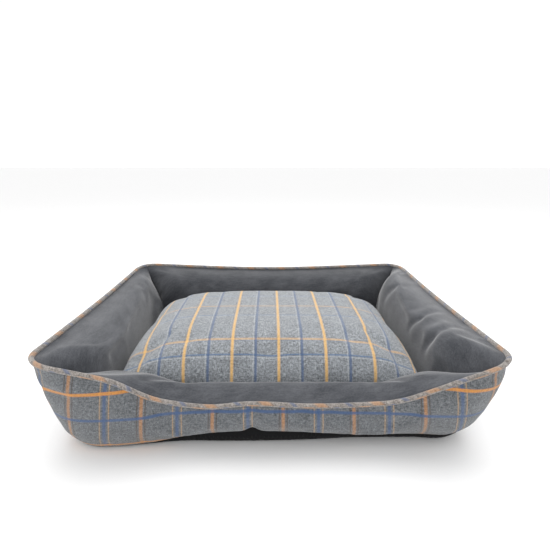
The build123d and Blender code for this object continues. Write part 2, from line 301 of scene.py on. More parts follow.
def weld(piece):
    """Merges the doubled points where a tube's wall meets itself."""
    modifier = piece.modifiers.new("weld", "WELD")
    modifier.merge_threshold = 1e-5


def smooth(piece):
    """Subdivides a piece once."""
    modifier = piece.modifiers.new("smooth", "SUBSURF")
    modifier.levels = 1
    modifier.render_levels = 1
    modifier.uv_smooth = "PRESERVE_BOUNDARIES"
    return piece


# ---------------------------------------------------------------- cloth simulation

def swell(piece, pinned, pressure, growth, frames, cap, bending=0.6):
    """Puffs a piece's cloth out between its pinned points by simulation, and applies the result.

    Growth is the cloth's spare length as a share, and no point moves further than cap.
    """
    rest = coordinates(piece.data)
    group = piece.vertex_groups.new(name="sewn")
    group.add([int(i) for i in np.flatnonzero(pinned)], 1.0, "REPLACE")
    modifier = piece.modifiers.new("cloth", "CLOTH")
    settings = modifier.settings
    settings.quality = 6
    settings.mass = 0.25
    settings.tension_stiffness = 12
    settings.compression_stiffness = 12
    settings.shear_stiffness = 4
    settings.bending_stiffness = bending
    settings.vertex_group_mass = "sewn"
    settings.use_pressure = True
    settings.uniform_pressure_force = pressure
    settings.shrink_min = -growth
    settings.effector_weights.gravity = 0
    modifier.collision_settings.use_collision = False
    modifier.point_cache.frame_start = 1
    modifier.point_cache.frame_end = frames
    scene = bpy.context.scene
    for number in range(1, frames + 1):
        scene.frame_set(number)
    moved = coordinates(piece.evaluated_get(bpy.context.evaluated_depsgraph_get()).data)
    piece.modifiers.remove(modifier)
    piece.vertex_groups.remove(group)
    scene.frame_set(1)
    step = moved - rest
    length = np.linalg.norm(step, axis=1)
    limit = cap * np.tanh(length / cap) / np.maximum(length, 1e-9)
    piece.data.vertices.foreach_set("co", (rest + step * limit[:, None]).ravel())
    piece.data.update()


# ---------------------------------------------------------------- shader helpers

def new_material(name, roughness, sheen=0.0, sheen_roughness=0.5, specular=0.3):
    """A material with its Principled shader; uniform values sit on the shader's own sockets."""
    material = bpy.data.materials.new(name)
    material.use_nodes = True
    tree = material.node_tree
    shader = tree.nodes["Principled BSDF"]
    shader.inputs["Roughness"].default_value = roughness
    shader.inputs["Sheen Weight"].default_value = sheen
    shader.inputs["Sheen Roughness"].default_value = sheen_roughness
    shader.inputs["Specular IOR Level"].default_value = specular
    return material, tree, shader


def feed(tree, socket, value):
    """Links a node's output to a socket, or sets the socket to a plain value."""
    if isinstance(value, bpy.types.NodeSocket):
        tree.links.new(value, socket)
    else:
        socket.default_value = value


def calc(tree, operation, a, b=0.0, c=0.0):
    """One Math node."""
    node = tree.nodes.new("ShaderNodeMath")
    node.operation = operation
    for socket, value in zip(node.inputs, (a, b, c)):
        feed(tree, socket, value)
    return node.outputs[0]


def remap(tree, value, low, high, to_low=0.0, to_high=1.0):
    """Smooth step of a value between two limits."""
    node = tree.nodes.new("ShaderNodeMapRange")
    node.interpolation_type = "SMOOTHSTEP"
    for socket, given in zip(node.inputs[:5], (value, low, high, to_low, to_high)):
        feed(tree, socket, given)
    return node.outputs[0]


def blend_colour(tree, share, first, second, mode="MIX"):
    """Blends two colours, each a socket or three numbers."""
    node = tree.nodes.new("ShaderNodeMix")
    node.data_type = "RGBA"
    node.blend_type = mode
    feed(tree, node.inputs["Factor"], share)
    for socket, value in zip((node.inputs[6], node.inputs[7]), (first, second)):
        feed(tree, socket, value if isinstance(value, bpy.types.NodeSocket) else (*value, 1.0))
    return node.outputs[2]


def cloth_axes(tree):
    """The cloth's own coordinates in metres: along the weft, along the warp, and both as a vector."""
    node = tree.nodes.new("ShaderNodeUVMap")
    node.uv_map = "cloth"
    split = tree.nodes.new("ShaderNodeSeparateXYZ")
    tree.links.new(node.outputs[0], split.inputs[0])
    return split.outputs[0], split.outputs[1], node.outputs[0]


def stretched(tree, vector, scale):
    """A vector scaled along each of its axes."""
    node = tree.nodes.new("ShaderNodeMapping")
    tree.links.new(vector, node.inputs["Vector"])
    node.inputs["Scale"].default_value = scale
    return node.outputs[0]


def fibre_noise(tree, vector, scale, detail, roughness):
    """Noise with its own scale along each axis."""
    node = tree.nodes.new("ShaderNodeTexNoise")
    node.inputs["Scale"].default_value = 1.0
    node.inputs["Detail"].default_value = detail
    node.inputs["Roughness"].default_value = roughness
    tree.links.new(stretched(tree, vector, scale), node.inputs["Vector"])
    return node.outputs[0]


def line(tree, coordinate, period, offset, width, edge=0.0007):
    """Mask of one woven line for each repeat of the cloth."""
    near = calc(tree, "WRAP", calc(tree, "SUBTRACT", coordinate, offset), period / 2, -period / 2)
    distance = calc(tree, "ABSOLUTE", near)
    return remap(tree, distance, width / 2 + edge, width / 2 - edge)


def finish(tree, shader, colour, height, distance, strength):
    """Feeds a colour and a relief to the shader."""
    tree.links.new(colour, shader.inputs["Base Color"])
    node = tree.nodes.new("ShaderNodeBump")
    node.inputs["Strength"].default_value = strength
    node.inputs["Distance"].default_value = distance
    tree.links.new(height, node.inputs["Height"])
    tree.links.new(node.outputs[0], shader.inputs["Normal"])


def weave_height(tree, u, v, pitch):
    """Over-and-under height of a plain weave with threads pitch metres apart."""
    across = calc(tree, "SINE", calc(tree, "MULTIPLY", u, 2 * math.pi / pitch))
    along = calc(tree, "SINE", calc(tree, "MULTIPLY", v, 2 * math.pi / pitch))
    return calc(tree, "MULTIPLY_ADD", calc(tree, "MULTIPLY", across, along), 0.5, 0.5)


def tweed_ground(tree, vector, dark, middle, light, knots=0.0):
    """Melange yarn: flecks drawn out along both thread directions, thicker knots and soft clouding."""
    weft = fibre_noise(tree, vector, (180, 560, 1), 4, 0.75)
    warp = fibre_noise(tree, vector, (560, 180, 1), 4, 0.75)
    slub = fibre_noise(tree, vector, (700, 900, 1), 2, 0.6)
    cloud = fibre_noise(tree, vector, (45, 45, 1), 4, 0.6)
    yarn = calc(tree, "MULTIPLY_ADD", slub, 0.5, calc(tree, "ADD", weft, warp))
    fleck = remap(tree, yarn, 0.95, 1.55)
    ground = blend_colour(tree, fleck, dark, light)
    ground = blend_colour(tree, 0.15, ground, middle)
    knot = calc(tree, "MULTIPLY", fibre_noise(tree, vector, (190, 190, 1), 2, 0.6), knots)
    clouded = calc(tree, "ADD", calc(tree, "MULTIPLY_ADD", cloud, 0.7, 0.65 - knots / 2), knot)
    return blend_colour(tree, 1.0, ground, colour_of(tree, clouded), "MULTIPLY"), fleck


def colour_of(tree, value):
    """A grey of the given value."""
    node = tree.nodes.new("ShaderNodeCombineColor")
    for socket in node.inputs:
        feed(tree, socket, value)
    return node.outputs[0]


def lay_lines(tree, ground, fleck, lines):
    """Lays woven lines over a ground: each is a mask, a colour and how dense the dyed yarn is."""
    broken = calc(tree, "MULTIPLY_ADD", fleck, 0.45, 0.62)
    for mask, colour, density in lines:
        share = calc(tree, "MULTIPLY", calc(tree, "MULTIPLY", mask, broken), density)
        ground = blend_colour(tree, calc(tree, "MINIMUM", share, 1.0), ground, colour)
    return ground


TWEED_DARK = (0.040, 0.045, 0.052)
TWEED_MIDDLE = (0.106, 0.113, 0.123)
TWEED_LIGHT = (0.228, 0.241, 0.252)
ORANGE = (0.62, 0.26, 0.055)
BRIGHT_ORANGE = (0.80, 0.47, 0.14)
PALE_ORANGE = (0.66, 0.40, 0.17)
BLUE = (0.045, 0.095, 0.22)
SOFT_BLUE = (0.09, 0.16, 0.29)
BROWN = (0.07, 0.045, 0.035)
WHITE_YARN = (0.60, 0.62, 0.64)


def wall_plaid():
    """Windowpane tweed of the outer walls: broad orange and blue bands with fine guard lines."""
    material, tree, shader = new_material("plaid_wall", 0.92, 0.35, 0.45, 0.2)
    u, v, vector = cloth_axes(tree)
    ground, fleck = tweed_ground(tree, vector, TWEED_DARK, TWEED_MIDDLE, TWEED_LIGHT, 1.3)
    repeat_u, repeat_v = WALL_REPEAT
    orange_v, blue_v = 0.0135, 0.0823
    orange_u, blue_u = 0.020, 0.020 + repeat_u / 2
    lines = [
        (line(tree, u, repeat_u, orange_u, 0.0050, 0.0014), ORANGE, 0.52),
        (line(tree, u, repeat_u, orange_u - 0.0060, 0.0018), BROWN, 0.75),
        (line(tree, u, repeat_u, orange_u + 0.0060, 0.0018), BROWN, 0.75),
        (line(tree, u, repeat_u, blue_u, 0.0050, 0.0014), BLUE, 0.72),
        (line(tree, u, repeat_u, blue_u - 0.0066, 0.0018), PALE_ORANGE, 0.45),
        (line(tree, u, repeat_u, blue_u + 0.0066, 0.0018), PALE_ORANGE, 0.45),
        (line(tree, v, repeat_v, blue_v, 0.0056, 0.0014), BLUE, 0.92),
        (line(tree, v, repeat_v, orange_v, 0.0056, 0.0012), ORANGE, 1.0),
    ]
    colour = lay_lines(tree, ground, fleck, lines)
    height = calc(tree, "ADD", weave_height(tree, u, v, TWEED_PITCH), fleck)
    finish(tree, shader, colour, height, 0.0005, 0.7)
    return material


def cushion_plaid():
    """Windowpane tweed of the cushion: strong lines in depth and fainter ones across."""
    material, tree, shader = new_material("plaid_cushion", 0.94, 0.4, 0.5, 0.2)
    u, v, vector = cloth_axes(tree)
    light = tuple(1.84 * c for c in TWEED_LIGHT)
    middle = tuple(1.8 * c for c in TWEED_MIDDLE)
    dark = tuple(1.9 * c for c in TWEED_DARK)
    ground, fleck = tweed_ground(tree, vector, dark, middle, light, 1.2)
    repeat_u, repeat_v = CUSHION_REPEAT
    orange_u, blue_u = 0.015, 0.015 + repeat_u / 2
    orange_v, blue_v = -0.002, -0.0545
    lines = [
        (line(tree, v, repeat_v, orange_v, 0.0048), PALE_ORANGE, 0.62),
        (line(tree, v, repeat_v, orange_v - 0.0042, 0.0014), SOFT_BLUE, 0.5),
        (line(tree, v, BLUE_REPEAT, blue_v, 0.0028), SOFT_BLUE, 0.85),
        (line(tree, v, BLUE_REPEAT, blue_v - 0.004, 0.0012), WHITE_YARN, 0.55),
        (line(tree, u, repeat_u, orange_u, 0.0048, 0.0012), BRIGHT_ORANGE, 0.85),
        (line(tree, u, repeat_u, orange_u - 0.0048, 0.0012), BROWN, 0.25),
        (line(tree, u, repeat_u, orange_u + 0.0048, 0.0012), BROWN, 0.25),
        (line(tree, u, repeat_u, blue_u, 0.0042, 0.0012), BLUE, 0.75),
        (line(tree, u, repeat_u, blue_u - 0.0042, 0.0012), WHITE_YARN, 0.45),
    ]
    colour = lay_lines(tree, ground, fleck, lines)
    height = calc(tree, "ADD", weave_height(tree, u, v, TWEED_PITCH), fleck)
    finish(tree, shader, colour, height, 0.0005, 0.7)
    return material


def piping_plaid():
    """The same tweed cut on the bias, so its lines cross the piping as slanted patches."""
    material, tree, shader = new_material("plaid_piping", 0.92, 0.35, 0.45, 0.2)
    u, v, vector = cloth_axes(tree)
    ground, fleck = tweed_ground(tree, vector, (0.095, 0.087, 0.080), (0.21, 0.19, 0.17), (0.46, 0.42, 0.39))
    slanted = calc(tree, "ADD", u, v)
    lines = [
        (line(tree, slanted, PIPING_REPEAT, 0.018, 0.016, 0.004), ORANGE, 0.45),
        (line(tree, slanted, PIPING_REPEAT, 0.018 + PIPING_REPEAT / 2, 0.007, 0.002), BLUE, 0.6),
        (line(tree, slanted, PIPING_REPEAT / 4, 0.006, 0.002, 0.001), BROWN, 0.35),
    ]
    colour = lay_lines(tree, ground, fleck, lines)
    twill = calc(tree, "SINE", calc(tree, "MULTIPLY", slanted, 2 * math.pi / 0.0022))
    finish(tree, shader, colour, calc(tree, "ADD", twill, fleck), 0.0005, 0.6)
    return material


def suede(name, painted_shade_scale):
    """Charcoal brushed microfibre: short pile, soft nap patches and a fibre sheen."""
    # A scale below 1 darkens the colour and the sheen: painted shade for the back wall.
    material, tree, shader = new_material(name, 0.88, 0.55 * painted_shade_scale, 0.4, 0.2)
    _, _, vector = cloth_axes(tree)
    nap = fibre_noise(tree, vector, (14, 22, 1), 5, 0.68)
    pile = fibre_noise(tree, vector, (330, 520, 1), 4, 0.7)
    streak = fibre_noise(tree, vector, (60, 220, 1), 4, 0.7)
    tone = calc(tree, "ADD", calc(tree, "MULTIPLY", nap, 0.55), calc(tree, "MULTIPLY", streak, 0.25))
    tone = calc(tree, "ADD", tone, calc(tree, "MULTIPLY", pile, 0.35))
    shade = remap(tree, tone, 0.38, 0.78)
    dark = tuple(painted_shade_scale * c for c in (0.036, 0.039, 0.046))
    light = tuple(painted_shade_scale * c for c in (0.111, 0.115, 0.126))
    colour = blend_colour(tree, shade, dark, light)
    height = calc(tree, "ADD", calc(tree, "MULTIPLY", pile, 0.7), calc(tree, "MULTIPLY", streak, 0.5))
    finish(tree, shader, colour, height, 0.0006, 0.6)
    return material


def plain_weave(name, dark, light, pitch, roughness=0.9, sheen=0.2):
    """Plain woven cloth with visible threads."""
    material, tree, shader = new_material(name, roughness, sheen, 0.5, 0.25)
    u, v, vector = cloth_axes(tree)
    height = weave_height(tree, u, v, pitch)
    slub = fibre_noise(tree, vector, (160, 900, 1), 3, 0.6)
    share = calc(tree, "ADD", calc(tree, "MULTIPLY", height, 0.45), calc(tree, "MULTIPLY", slub, 0.65))
    colour = blend_colour(tree, remap(tree, share, 0.25, 0.85), dark, light)
    finish(tree, shader, colour, calc(tree, "ADD", height, slub), pitch * 0.35, 0.7)
    return material


def grip_cloth():
    """Black base cloth with rows of small raised grip dots."""
    material, tree, shader = new_material("base_cloth", 0.75, 0.02, 0.5, 0.15)
    u, v, _ = cloth_axes(tree)
    pitch = 0.007
    row = calc(tree, "FLOOR", calc(tree, "DIVIDE", v, pitch))
    shifted = calc(tree, "MULTIPLY_ADD", calc(tree, "MODULO", row, 2.0), pitch / 2, u)
    du = calc(tree, "WRAP", shifted, pitch / 2, -pitch / 2)
    dv = calc(tree, "WRAP", calc(tree, "SUBTRACT", v, pitch / 2), pitch / 2, -pitch / 2)
    squares = calc(tree, "MULTIPLY_ADD", du, du, calc(tree, "MULTIPLY", dv, dv))
    distance = calc(tree, "SQRT", squares)
    dot = remap(tree, distance, 0.0017, 0.0010)
    weave = weave_height(tree, u, v, 0.0011)
    colour = blend_colour(tree, weave, (0.003, 0.003, 0.0035), (0.008, 0.008, 0.009))
    colour = blend_colour(tree, dot, colour, (0.002, 0.002, 0.002))
    tree.links.new(remap(tree, dot, 0.0, 1.0, 0.9, 0.6), shader.inputs["Roughness"])
    height = calc(tree, "MULTIPLY_ADD", dot, 2.0, calc(tree, "MULTIPLY", weave, 0.4))
    finish(tree, shader, colour, height, 0.0005, 0.9)
    return material


def solid_metal(name, colour, metallic, roughness):
    """Enamelled or plated metal with fine wear."""
    material, tree, shader = new_material(name, roughness, 0.0, 0.5, 0.5)
    shader.inputs["Metallic"].default_value = metallic
    place = tree.nodes.new("ShaderNodeTexCoord")
    grain = fibre_noise(tree, place.outputs["Object"], (900, 900, 900), 4, 0.6)
    worn = blend_colour(tree, grain, tuple(0.7 * c for c in colour), tuple(1.3 * c for c in colour))
    dull = remap(tree, grain, 0.2, 0.8, roughness - 0.1, roughness + 0.15)
    tree.links.new(dull, shader.inputs["Roughness"])
    finish(tree, shader, worn, grain, 0.0001, 0.4)
    return material


def coil_teeth():
    """Black nylon zip coil with a row of fine turns."""
    material, tree, shader = new_material("zip_coil", 0.45, 0.0, 0.5, 0.4)
    place = tree.nodes.new("ShaderNodeTexCoord")
    split = tree.nodes.new("ShaderNodeSeparateXYZ")
    tree.links.new(place.outputs["Object"], split.inputs[0])
    turns = calc(tree, "SINE", calc(tree, "MULTIPLY", split.outputs[0], 2 * math.pi / 0.0013))
    shade = remap(tree, turns, -0.9, 0.6)
    colour = blend_colour(tree, shade, (0.004, 0.004, 0.005), (0.045, 0.045, 0.050))
    finish(tree, shader, colour, turns, 0.0004, 0.9)
    return material


MATERIALS = {
    "plaid_wall": wall_plaid(),
    "plaid_cushion": cushion_plaid(),
    "plaid_piping": piping_plaid(),
    "charcoal_suede": suede("charcoal_suede", 1.0),
    # A darker copy of the same suede for the back wall: painted shade, set to how dark it looks.
    "back_painted_shade_suede": suede("back_painted_shade_suede", 0.74),
    "lining_cloth": plain_weave("lining_cloth", (0.05, 0.053, 0.062), (0.12, 0.125, 0.14), 0.0012),
    "cushion_underside": plain_weave(
        "cushion_underside", (0.03, 0.031, 0.036), (0.085, 0.088, 0.097), 0.0014
    ),
    "base_cloth": grip_cloth(),
    "zip_tape": plain_weave("zip_tape", (0.012, 0.012, 0.014), (0.05, 0.05, 0.056), 0.0008, 0.8, 0.1),
    "zip_coil": coil_teeth(),
    "zip_metal": solid_metal("zip_metal", (0.42, 0.42, 0.43), 0.9, 0.32),
}


def dress(piece, material):
    """Gives a piece its material and its slot, which has the material's name."""
    piece.data.materials.clear()
    piece.data.materials.append(MATERIALS[material])
    return piece


# ---------------------------------------------------------------- walls

# Height over length of cloth up the leaning wall, how much of the bottom seam's rise over its usual height
# bends the cloth's lines, and how much wider the cloth lies for each metre of height.
WALL_SLANT = 0.95
SEAM_SHARE_OF_CUT = 0.36
SEAM_REST = 0.008
CLOTH_FAN = 1.05


def swell_reach(side, f):
    """How far the wall swells out along one side."""
    first, last = CORNER_SWELL[side]
    middle = SIDE_SWELL[side]
    return middle + (first - middle) * (1 - smoothstep(f, 0, 0.3)) + (last - middle) * smoothstep(f, 0.7, 1)


def wall_points(side, f):
    """Grid of the outer surface of one side, from its bottom seam to the piping's centre line."""
    seam_z, tuck, _ = seam(side, f)
    top = rim_height(side, f)
    reach = swell_reach(side, f)
    rows = []
    for v in np.linspace(0, 1, OUTER_ROWS):
        z = seam_z + (top - seam_z) * v
        plan, normal = wall_outline(side, f, z)
        swelling = reach * np.interp(v, SWELL_HEIGHTS, SWELL_SHARES)
        rows.append(np.column_stack([plan + normal * (swelling - tuck * (1 - v) ** 2)[:, None], z]))
    return np.array(rows)


def middle_run(side):
    """Half of a side's length round the outline at mid height."""
    f = column_shares(COLUMNS[side])
    points, _ = wall_outline(side, f, np.full(len(f), MID_Z))
    return np.linalg.norm(np.diff(points, axis=0), axis=1).sum() / 2


def wall_cloth(side, f, points, middle):
    """Cloth coordinates of one side, whose middle is given: upright lines, fanning a little with height."""
    flat = points.copy()
    flat[..., 2] = 0
    run = arc_lengths(flat, 1)
    run = run - run[:, run.shape[1] // 2, None]
    run = run * (1 + CLOTH_FAN * (points[..., 2] - MID_Z))
    height = (points[..., 2] - SEAM_SHARE_OF_CUT * (seam(side, f)[0] - SEAM_REST)) / WALL_SLANT
    return np.stack([middle + run, height], axis=-1)


def wall_ring():
    """The whole outer wall side by side, with its cloth coordinates."""
    grids, clothes = {}, {}
    runs = {side: middle_run(side) for side in SIDES}
    middles = {
        "front": 0.0,
        "right": runs["front"] + runs["right"],
        "back": runs["front"] + 2 * runs["right"] + runs["back"],
        "left": -runs["front"] - runs["left"],
    }
    for side in SIDES:
        f = column_shares(COLUMNS[side])
        grids[side] = wall_points(side, f)
        clothes[side] = wall_cloth(side, f, grids[side], middles[side])
    return grids, clothes


def puffed_ring(grids):
    """Simulates the outer wall as one ring, so that no corner is held, and cuts it back into its sides."""
    ring = np.concatenate([grids[side][:, :-1] for side in SIDES], axis=1)
    rows, cols = ring.shape[:2]
    piece = grid_piece("wall_ring", ring, np.zeros((rows, cols + 1, 2)), closed=True)
    row_of = np.repeat(np.arange(rows), cols)
    pinned = (row_of == 0) | (row_of == rows - 1)
    swell(piece, pinned, pressure=1.1, growth=0.010, frames=16, cap=0.003)
    points = coordinates(piece.data).reshape(rows, cols, 3)
    bpy.data.objects.remove(piece)
    points = np.concatenate([points, points[:, :1]], axis=1)
    cut, first = {}, 0
    for side in SIDES:
        count = COLUMNS[side]
        cut[side] = points[:, first:first + count]
        first += count - 1
    return cut


def build_outer_walls():
    """Plaid outer panels, one for each side."""
    grids, clothes = wall_ring()
    soft = puffed_ring(grids)
    for side in SIDES:
        piece = grid_piece(f"outer_wall_{side}", soft[side], clothes[side])
        dress(smooth(piece), "plaid_wall")
        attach(piece, "bed")
        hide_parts(f"outer_panel_{side}")


def arc_lengths(points, axis):
    """Running length along one axis of a grid."""
    steps = np.linalg.norm(np.diff(points, axis=axis), axis=-1)
    zero = np.zeros_like(np.take(steps, [0], axis=axis))
    return np.concatenate([zero, np.cumsum(steps, axis=axis)], axis=axis)


def grid_edge(points):
    """True at the points round the edge of a grid."""
    edge = np.ones(points.shape[:2], bool)
    edge[1:-1, 1:-1] = False
    return edge.ravel()


def rim_path():
    """Points of the piping's centre line, all the way round from the front-left corner."""
    parts = []
    for side in SIDES:
        f = column_shares(COLUMNS[side])
        top = rim_height(side, f)
        plan, _ = wall_outline(side, f, top)
        parts.append(np.column_stack([plan, top])[:-1])
    return np.concatenate(parts)


# Section of a stuffed wall from the piping over its crest and down to the lining: share of the way from the
# well to the rim, at full stuffing and at the corner seam.
SECTION_KNOTS = [0.0, 0.14, 0.36, 0.66, 1.0]
FULL_SHARE = [1.0, 0.62, 0.17, 0.02, 0.10]
SEAM_SHARE = [1.0, 0.70, 0.46, 0.24, 0.10]
# Drop of the crest below the piping, the front crest's height at its ends and in the scoop, and how fast it
# falls between them.
CREST_DROP = {"right": -0.003, "back": 0.005, "left": 0.005}
FRONT_CREST = 0.1495
SCOOP_CREST = 0.1178
SCOOP_POWER = 1.35
# Drop of the shoulder below the crest, and of both below the piping at the corner seams.
SHOULDER_DROP = 0.021
SEAM_CREST_DROP = 0.052
SEAM_SHOULDER_DROP = 0.080
# Length of the rounding at each end, and how much fuller the side walls are towards the back.
END_ROUND = 0.056
BACK_FLARE = {"front": 0.0, "right": 0.04, "back": 0.0, "left": 0.30}


def corner_plans(side):
    """Plan positions of a side's two corner seams at the well."""
    corners = {
        "front": [(-1, -1), (1, -1)], "right": [(1, -1), (1, 1)],
        "back": [(1, 1), (-1, 1)], "left": [(-1, 1), (-1, -1)],
    }[side]
    return [np.array([x * WELL_X, -WELL_FRONT if y < 0 else WELL_BACK]) for x, y in corners]


def bolster_points(side, f):
    """Grid of the stuffed inner face of one side, from the piping down to the lining."""
    _, out = SIDES[side]
    top = rim_height(side, f)
    rim_plan, _ = wall_outline(side, f, top)
    well_start, well_end = corner_plans(side)
    length = np.linalg.norm(rim_plan[-1] - rim_plan[0])
    near_end = np.clip(np.minimum(f, 1 - f) * length / END_ROUND, 0, 1)
    stuffed = np.sqrt(1 - (1 - near_end) ** 2)
    rim_out = rim_plan @ out
    chord_out = rim_out[0] + (rim_out[-1] - rim_out[0]) * f
    if side == "front":
        dip = np.clip((RIM_Z - top) / (RIM_Z - SCOOP_Z), 0, 1)
        crest = FRONT_CREST + (SCOOP_CREST - FRONT_CREST) * dip**SCOOP_POWER
    else:
        crest = top - CREST_DROP[side]
    end_top = top[0] + (top[-1] - top[0]) * f
    middle_z = FLOOR_Z + 0.45 * (crest - FLOOR_Z)
    full_z = [top, crest, crest - SHOULDER_DROP, middle_z, np.full(len(f), FLOOR_Z)]
    seam_z = [top, end_top - SEAM_CREST_DROP, end_top - SEAM_SHOULDER_DROP, middle_z, full_z[4]]
    rearward = f if side == "right" else 1 - f
    flare = BACK_FLARE[side] * smoothstep(rearward, 0.2, 1.0)
    controls = []
    for i in range(len(SECTION_KNOTS)):
        flared = FULL_SHARE[i] + flare * (1 - FULL_SHARE[i]) * (i > 0)
        share = SEAM_SHARE[i] + (flared - SEAM_SHARE[i]) * stuffed
        z = seam_z[i] + (full_z[i] - seam_z[i]) * stuffed
        start = well_start + share[:, None] * (rim_plan[0] - well_start)
        end = well_end + share[:, None] * (rim_plan[-1] - well_end)
        plan = start + (end - start) * f[:, None] + (share * (rim_out - chord_out))[:, None] * out
        if i == 0:
            plan = rim_plan
        controls.append(np.column_stack([plan, z]))
    weights = natural_weights(SECTION_KNOTS, np.linspace(0, 1, INNER_ROWS))
    return np.einsum("rk,kcx->rcx", weights, np.array(controls))


# Folds pressed into the stuffed walls: path of the crease, depth and half width.
FOLDS = {
    "right": [
        ([(0.332, -0.138, 0.176), (0.300, -0.148, 0.165), (0.281, -0.143, 0.148),
          (0.274, -0.128, 0.112)], 0.0058, 0.0085),
        ([(0.335, -0.058, 0.176), (0.288, -0.062, 0.157), (0.273, -0.032, 0.118)], 0.0034, 0.0090),
        ([(0.320, 0.098, 0.170), (0.289, 0.128, 0.157), (0.273, 0.168, 0.115)], 0.0024, 0.0100),
    ],
    "left": [
        ([(-0.318, 0.168, 0.170), (-0.292, 0.150, 0.160), (-0.274, 0.118, 0.118)], 0.0026, 0.0090),
    ],
    "back": [
        ([(-0.205, 0.270, 0.165), (-0.196, 0.232, 0.150), (-0.176, 0.216, 0.110)], 0.0022, 0.0085),
        ([(0.236, 0.268, 0.165), (0.222, 0.230, 0.150), (0.210, 0.216, 0.112)], 0.0022, 0.0085),
    ],
}


def path_distance(points, path):
    """Distance of each point from a line of straight pieces, and where on it the nearest place is, 0 to 1."""
    path = np.array(path)
    nearest = np.full(points.shape[:-1], np.inf)
    place = np.zeros(points.shape[:-1])
    for i, (start, end) in enumerate(zip(path, path[1:])):
        step = end - start
        share = np.clip((points - start) @ step / (step @ step), 0, 1)
        distance = np.linalg.norm(points - start - share[..., None] * step, axis=-1)
        closer = distance < nearest
        nearest = np.where(closer, distance, nearest)
        place = np.where(closer, (i + share) / (len(path) - 1), place)
    return nearest, place


def folded(points, folds):
    """Presses folds into a grid of points: a narrow crease between two soft rolls, fading at both ends."""
    normals = np.cross(np.gradient(points, axis=1), np.gradient(points, axis=0))
    normals /= np.maximum(np.linalg.norm(normals, axis=-1), 1e-9)[..., None]
    push = np.zeros(points.shape[:-1])
    for path, depth, width in folds:
        distance, place = path_distance(points, path)
        fade = smoothstep(place, 0, 0.25) * (1 - smoothstep(place, 0.75, 1))
        crease = np.exp(-((distance / width) ** 2))
        rolls = 0.35 * np.exp(-(((distance - 2.4 * width) / (1.5 * width)) ** 2))
        push += depth * fade * (rolls - crease)
    rows = points.shape[0]
    inside = np.sin(np.linspace(0, math.pi, rows))[:, None] ** 0.5
    return points + normals * (push * inside)[..., None]


def build_bolsters():
    """Suede inner panels over the stuffing, one for each side."""
    for side in SIDES:
        f = column_shares(COLUMNS[side])
        points = folded(bolster_points(side, f), FOLDS.get(side, []))
        across = arc_lengths(points, 1)
        down = arc_lengths(points, 0)
        piece = grid_piece(f"inner_wall_{side}", points[:, ::-1], np.stack([across, down], axis=-1)[:, ::-1])
        swell(piece, grid_edge(points), pressure=2.0, growth=0.004, frames=18, cap=0.005, bending=3.0)
        # The back wall takes the darker suede copy: painted shade.
        dress(smooth(piece), "back_painted_shade_suede" if side == "back" else "charcoal_suede")
        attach(piece, "bed")
        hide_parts(f"inner_panel_{side}", f"bolster_fill_{side}")


# ---------------------------------------------------------------- piping, base, lining

def build_piping():
    """Piping round the whole rim, a little uneven in thickness."""
    path = rim_path()
    wobble = ripple(path, 0.03, 3)
    radius = PIPING_RADIUS * (1.10 + 0.05 * wobble)
    cover = tube_piece("piping_cover_strip", path, radius, 14)
    weld(cover)
    dress(cover, "plaid_piping")
    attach(cover, "bed")
    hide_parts("piping_cover", "piping_cord")


BELLY_TURNS = 7
BASE_RINGS = 9


def build_base():
    """Base cloth from the walls' bottom seam, curving under to lie flat on the floor."""
    edges, bellies = [], []
    for side in SIDES:
        f = column_shares(COLUMNS[side])
        edges.append(wall_points(side, f)[0, :-1])
        bellies.append(seam(side, f)[2][:-1])
    edge = np.concatenate(edges)
    reach = np.concatenate(bellies)
    centre = np.array([0.0, (BASE_LOW.y + BASE_HIGH.y) / 2, 0.0])
    inward = centre[:2] - edge[:, :2]
    distance = np.linalg.norm(inward, axis=1)
    inward /= distance[:, None]
    rows = []
    for turn in np.linspace(0, math.pi / 2, BELLY_TURNS):
        inset = reach * (1 - math.cos(turn))
        height = edge[:, 2] * (1 - math.sin(turn))
        rows.append(np.column_stack([edge[:, :2] + inward * inset[:, None], height]))
    flat = rows[-1]
    for share in np.linspace(0, 0.93, BASE_RINGS)[1:]:
        rows.append(flat + (centre - flat) * share)
    points = np.array(rows[::-1])
    uvs = np.concatenate([points, points[:, :1]], axis=1)[..., :2]
    piece = grid_piece("base_cloth_panel", points[:, ::-1], uvs[:, ::-1], closed=True)
    fill_hole(piece, points.shape[1], centre)
    dress(piece, "base_cloth")
    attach(piece, "bed")
    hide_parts("base_panel")


def fill_hole(piece, count, centre):
    """Closes the first ring of a grid with a fan to its centre."""
    mesh = piece.data
    points = coordinates(mesh)
    inner = points[:count]
    layer = mesh.uv_layers[0]
    old_uv = np.zeros(len(layer.data) * 2, np.float32)
    layer.data.foreach_get("uv", old_uv)
    faces = [list(p.vertices) for p in mesh.polygons]
    new = len(points)
    fan = [[new, (i + 1) % count, i] for i in range(count)]
    mesh.clear_geometry()
    mesh.from_pydata(np.vstack([points, centre]).tolist(), [], faces + fan)
    layer = mesh.uv_layers.new(name="cloth")
    fan_uv = []
    for i in range(count):
        fan_uv += [centre[:2], inner[(i + 1) % count][:2], inner[i][:2]]
    layer.data.foreach_set("uv", np.concatenate([old_uv, np.array(fan_uv, np.float32).ravel()]))
    mesh.polygons.foreach_set("use_smooth", [True] * len(mesh.polygons))


# The well's floor: grid, reach under the walls, height of its padding and depth of its wrinkles.
LINING_CELLS = (60, 50)
LINING_OVERLAP = 0.020
LINING_PAD = 0.004
LINING_WRINKLE = 0.0012
LINING_EDGE_Z = FLOOR_Z - 0.0045


